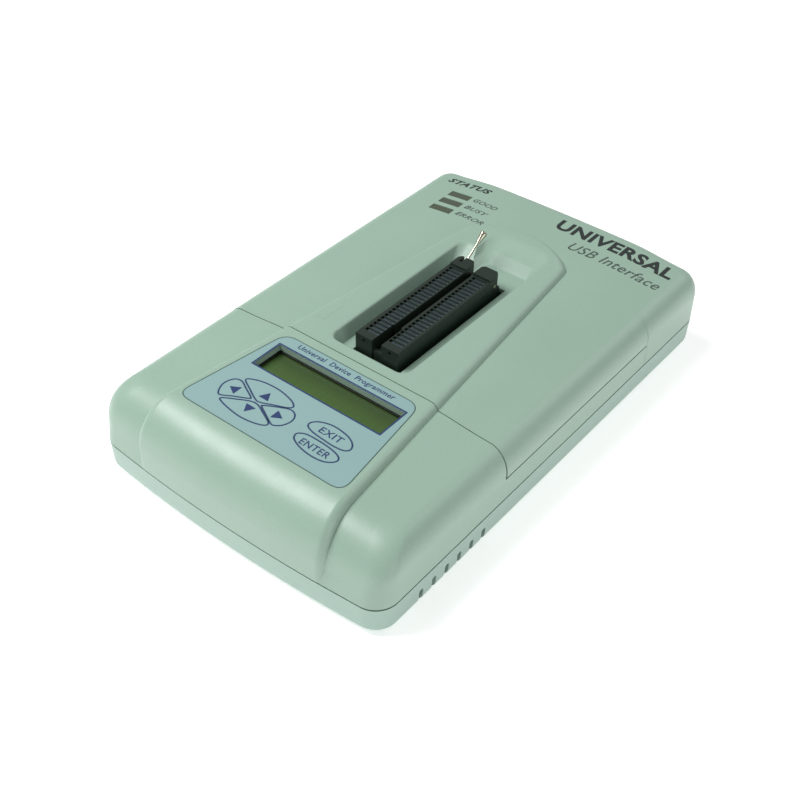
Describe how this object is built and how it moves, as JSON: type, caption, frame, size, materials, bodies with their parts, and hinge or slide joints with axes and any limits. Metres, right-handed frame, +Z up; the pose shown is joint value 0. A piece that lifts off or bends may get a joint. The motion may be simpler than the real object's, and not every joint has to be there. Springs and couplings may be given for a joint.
{
  "type": "usb microcontroller programmer",
  "caption": "Desktop device programmer: a low wedge-sided housing with a lever-locked test socket in a recess, a character display, a four-way pad, two more keys and status lamps.",
  "frame": {"origin": "centre of the footprint at the underside of the feet", "axes": "+X to the right of someone who faces the keys, +Y from the display end to the rear, +Z up"},
  "size_m": [0.152, 0.2444, 0.0571],
  "materials": {
    "case_green": "satin light grey-green",
    "lower_green": "satin, a little lighter",
    "overlay_blue": "printed film, satin",
    "key_blue": "printed film, satin",
    "part_black": "moulded",
    "board_green": "circuit board",
    "frame_metal": "black painted frame",
    "display_glass": "olive display glass",
    "screw_steel": "plated",
    "socket_black": "moulded, dull",
    "contact_metal": "spring contacts",
    "lever_steel": "polished",
    "lamp_olive": "unlit lamp window",
    "lamp_clear": "clear",
    "can_metal": "sleeveless can",
    "shell_metal": "pressed shell",
    "foot_rubber": "dull"
  },
  "bodies": {
    "housing": {"console_cover": "case_green", "rear_cover": "case_green", "lower_case": "lower_green", "keypad_overlay": "overlay_blue", "switch_up": "part_black", "switch_down": "part_black", "switch_left": "part_black", "switch_right": "part_black", "switch_exit": "part_black", "switch_enter": "part_black", "keypad_board": "board_green", "lcd_board": "board_green", "socket_board": "board_green", "main_board": "board_green", "lamp_board": "board_green", "lcd_frame": "frame_metal", "lcd_glass": "display_glass", "lcd_screw_1": "screw_steel", "lcd_screw_2": "screw_steel", "lcd_screw_3": "screw_steel", "lcd_screw_4": "screw_steel", "case_screw_1": "screw_steel", "case_screw_2": "screw_steel", "case_screw_3": "screw_steel", "case_screw_4": "screw_steel", "board_screw_1": "screw_steel", "board_screw_2": "screw_steel", "board_screw_3": "screw_steel", "board_screw_4": "screw_steel", "socket_base": "socket_black", "header_left": "socket_black", "header_right": "socket_black", "socket_contacts_left": "contact_metal", "socket_contacts_right": "contact_metal", "lamp_window_good": "lamp_olive", "lamp_window_busy": "lamp_olive", "lamp_window_error": "lamp_olive", "lamp_good": "lamp_clear", "lamp_busy": "lamp_clear", "lamp_error": "lamp_clear", "logic_chip": "part_black", "memory_chip": "part_black", "power_coil": "part_black", "power_socket": "part_black", "power_capacitor": "can_metal", "usb_socket": "shell_metal", "foot_1": "foot_rubber", "foot_2": "foot_rubber", "foot_3": "foot_rubber", "foot_4": "foot_rubber"},
    "lever": {"socket_lever": "lever_steel", "socket_lever_knob": "lever_steel"},
    "slide_bar": {"socket_slide": "socket_black"},
    "key_up": {"key_up": "key_blue"},
    "key_down": {"key_down": "key_blue"},
    "key_left": {"key_left": "key_blue"},
    "key_right": {"key_right": "key_blue"},
    "key_exit": {"key_exit": "key_blue"},
    "key_enter": {"key_enter": "key_blue"}
  },
  "joints": [
    {"name": "lever_turn", "type": "hinge", "parent": "housing", "child": "lever", "pos_m": [-0.0089, 0.0408, 0.0442], "axis": [1, 0, 0], "range_deg": [-30, 50]},
    {"name": "slide_bar_travel", "type": "slide", "parent": "housing", "child": "slide_bar", "axis": [0, -1, 0], "range_m": [-0.00047, 0.00078]},
    {"name": "key_up_press", "type": "slide", "parent": "housing", "child": "key_up", "axis": [0, 0, -1], "range_m": [0, 0.0003], "stiffness_N_per_m": 1500, "springref_m": -0.0003},
    {"name": "key_down_press", "type": "slide", "parent": "housing", "child": "key_down", "axis": [0, 0, -1], "range_m": [0, 0.0003], "stiffness_N_per_m": 1500, "springref_m": -0.0003},
    {"name": "key_left_press", "type": "slide", "parent": "housing", "child": "key_left", "axis": [0, 0, -1], "range_m": [0, 0.0003], "stiffness_N_per_m": 1500, "springref_m": -0.0003},
    {"name": "key_right_press", "type": "slide", "parent": "housing", "child": "key_right", "axis": [0, 0, -1], "range_m": [0, 0.0003], "stiffness_N_per_m": 1500, "springref_m": -0.0003},
    {"name": "key_exit_press", "type": "slide", "parent": "housing", "child": "key_exit", "axis": [0, 0, -1], "range_m": [0, 0.0003], "stiffness_N_per_m": 1500, "springref_m": -0.0003},
    {"name": "key_enter_press", "type": "slide", "parent": "housing", "child": "key_enter", "axis": [0, 0, -1], "range_m": [0, 0.0003], "stiffness_N_per_m": 1500, "springref_m": -0.0003}
  ],
  "couplings": [
    {"joint": "lever_turn", "follows": "slide_bar_travel", "rad_per_m": 1111.1}
  ]
}
